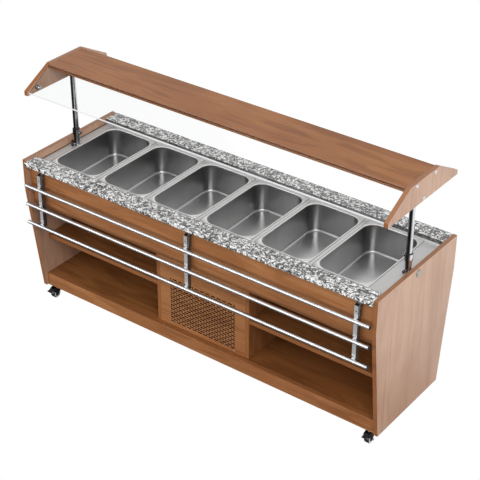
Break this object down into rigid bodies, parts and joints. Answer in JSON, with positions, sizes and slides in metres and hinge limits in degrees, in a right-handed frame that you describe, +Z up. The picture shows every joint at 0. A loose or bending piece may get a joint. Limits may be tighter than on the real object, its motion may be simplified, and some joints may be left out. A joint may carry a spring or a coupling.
{
  "type": "mobile salad bar",
  "caption": "Mobile salad bar: board cabinet on castors, chilled steel well with pans between granite strips, raisable glass canopy and folding tray slide.",
  "frame": {"origin": "on the floor, under the centre of the whole plan outline", "axes": "+Z up; +X along the length, to the right as seen by a customer; the customers' side faces -Y"},
  "size_m": [2.176, 0.738, 1.353],
  "materials": {
    "cherry_board": "satin wood-grain laminate",
    "brushed_steel": "fine satin brush",
    "polished_steel": "bright polish",
    "chrome": "mirror",
    "granite": "polished grey speckled stone",
    "clear_glass": "clear, polished edges",
    "zinc_plate": "zinc plated",
    "grey_coating": "galvanised sheet",
    "black_coating": "semi-gloss enamel",
    "coil_aluminium": "plain fins",
    "insulating_foam": "rigid foam",
    "copper": "bare copper tube",
    "black_plastic": "matt moulded",
    "castor_tyre": "grey-black thermoplastic rubber"
  },
  "bodies": {
    "cabinet": {"end_panel_left": "cherry_board", "end_panel_right": "cherry_board", "front_apron": "cherry_board", "rear_apron": "cherry_board", "floor_board": "cherry_board", "base_frame": "cherry_board", "shelf_left": "cherry_board", "shelf_right": "cherry_board", "dividers": "cherry_board", "front_grille": "cherry_board", "rear_grille": "cherry_board", "rear_boards": "cherry_board", "well_tank": "brushed_steel", "tank_casing": "grey_coating", "deck": "brushed_steel", "pan_bars": "brushed_steel", "granite_front": "granite", "granite_rear": "granite", "drain": "brushed_steel", "post_sleeves": "chrome", "post_bolts": "chrome", "hinge_brackets": "polished_steel", "hinge_pins": "chrome", "castor_plates": "zinc_plate", "unit_base": "grey_coating", "insulation": "insulating_foam", "compressor": "black_coating", "condenser": "coil_aluminium", "fan_shroud": "grey_coating", "refrigerant_pipes": "copper", "control_panel": "black_plastic"},
    "pan_1": {"pan_1": "brushed_steel"},
    "pan_2": {"pan_2": "brushed_steel"},
    "pan_3": {"pan_3": "brushed_steel"},
    "pan_4": {"pan_4": "brushed_steel"},
    "pan_5": {"pan_5": "brushed_steel"},
    "pan_6": {"pan_6": "brushed_steel"},
    "canopy": {"gable_left": "cherry_board", "gable_right": "cherry_board", "roof_board": "cherry_board", "canopy_glass": "clear_glass", "post_tubes": "chrome", "canopy_fittings": "chrome"},
    "clamp_knob_left": {"clamp_knob_left": "chrome"},
    "clamp_knob_right": {"clamp_knob_right": "chrome"},
    "tray_slide": {"tray_arms": "polished_steel", "tray_rails": "polished_steel", "slide_plugs": "black_plastic"},
    "fork_front_left": {"fork_front_left": "black_plastic"},
    "wheel_front_left": {"wheel_front_left": "castor_tyre"},
    "fork_front_right": {"fork_front_right": "black_plastic"},
    "wheel_front_right": {"wheel_front_right": "castor_tyre"},
    "fork_rear_left": {"fork_rear_left": "black_plastic"},
    "wheel_rear_left": {"wheel_rear_left": "castor_tyre"},
    "fork_rear_right": {"fork_rear_right": "black_plastic"},
    "wheel_rear_right": {"wheel_rear_right": "castor_tyre"},
    "brake_front_left": {"brake_front_left": "zinc_plate"},
    "brake_front_right": {"brake_front_right": "zinc_plate"},
    "fan_rotor": {"fan_rotor": "black_plastic"},
    "rocker_switch": {"rocker_switch": "black_plastic"}
  },
  "joints": [
    {"name": "pan_1_lift", "type": "slide", "parent": "cabinet", "child": "pan_1", "axis": [0, 0, 1], "range_m": [0, 0.055]},
    {"name": "pan_2_lift", "type": "slide", "parent": "cabinet", "child": "pan_2", "axis": [0, 0, 1], "range_m": [0, 0.17]},
    {"name": "pan_3_lift", "type": "slide", "parent": "cabinet", "child": "pan_3", "axis": [0, 0, 1], "range_m": [0, 0.17]},
    {"name": "pan_4_lift", "type": "slide", "parent": "cabinet", "child": "pan_4", "axis": [0, 0, 1], "range_m": [0, 0.17]},
    {"name": "pan_5_lift", "type": "slide", "parent": "cabinet", "child": "pan_5", "axis": [0, 0, 1], "range_m": [0, 0.17]},
    {"name": "pan_6_lift", "type": "slide", "parent": "cabinet", "child": "pan_6", "axis": [0, 0, 1], "range_m": [0, 0.17]},
    {"name": "canopy_height", "type": "slide", "parent": "cabinet", "child": "canopy", "axis": [0, 0, 1], "range_m": [0, 0.15]},
    {"name": "clamp_knob_left_turn", "type": "hinge", "parent": "cabinet", "child": "clamp_knob_left", "pos_m": [-1.022, 0.007, 0.9225], "axis": [1, 0, 0], "range_deg": [0, 360]},
    {"name": "clamp_knob_right_turn", "type": "hinge", "parent": "cabinet", "child": "clamp_knob_right", "pos_m": [1.022, 0.007, 0.9225], "axis": [-1, 0, 0], "range_deg": [0, 360]},
    {"name": "tray_slide_fold", "type": "hinge", "parent": "cabinet", "child": "tray_slide", "pos_m": [0, -0.3325, 0.812], "axis": [-1, 0, 0], "range_deg": [0, 90]},
    {"name": "swivel_front_left", "type": "hinge", "parent": "cabinet", "child": "fork_front_left", "pos_m": [-1.021, -0.221, 0.067], "axis": [0, 0, 1], "continuous": true},
    {"name": "roll_front_left", "type": "hinge", "parent": "fork_front_left", "child": "wheel_front_left", "pos_m": [-1.021, -0.243, 0.025], "axis": [1, 0, 0], "continuous": true},
    {"name": "swivel_front_right", "type": "hinge", "parent": "cabinet", "child": "fork_front_right", "pos_m": [1.021, -0.221, 0.067], "axis": [0, 0, 1], "continuous": true},
    {"name": "roll_front_right", "type": "hinge", "parent": "fork_front_right", "child": "wheel_front_right", "pos_m": [1.021, -0.243, 0.025], "axis": [1, 0, 0], "continuous": true},
    {"name": "swivel_rear_left", "type": "hinge", "parent": "cabinet", "child": "fork_rear_left", "pos_m": [-1.021, 0.235, 0.067], "axis": [0, 0, 1], "continuous": true},
    {"name": "roll_rear_left", "type": "hinge", "parent": "fork_rear_left", "child": "wheel_rear_left", "pos_m": [-1.021, 0.257, 0.025], "axis": [1, 0, 0], "continuous": true},
    {"name": "swivel_rear_right", "type": "hinge", "parent": "cabinet", "child": "fork_rear_right", "pos_m": [1.021, 0.235, 0.067], "axis": [0, 0, 1], "continuous": true},
    {"name": "roll_rear_right", "type": "hinge", "parent": "fork_rear_right", "child": "wheel_rear_right", "pos_m": [1.021, 0.257, 0.025], "axis": [1, 0, 0], "continuous": true},
    {"name": "brake_front_left_press", "type": "hinge", "parent": "fork_front_left", "child": "brake_front_left", "pos_m": [-1.021, -0.264, 0.0576], "axis": [1, 0, 0], "range_deg": [0, 12]},
    {"name": "brake_front_right_press", "type": "hinge", "parent": "fork_front_right", "child": "brake_front_right", "pos_m": [1.021, -0.264, 0.0576], "axis": [1, 0, 0], "range_deg": [0, 12]},
    {"name": "fan_spin", "type": "hinge", "parent": "cabinet", "child": "fan_rotor", "pos_m": [-0.09033, -0.093, 0.277], "axis": [0, 1, 0], "continuous": true},
    {"name": "rocker_tilt", "type": "hinge", "parent": "cabinet", "child": "rocker_switch", "pos_m": [0.1975, 0.329, 0.76367], "axis": [1, 0, 0], "range_deg": [-7, 7]}
  ]
}
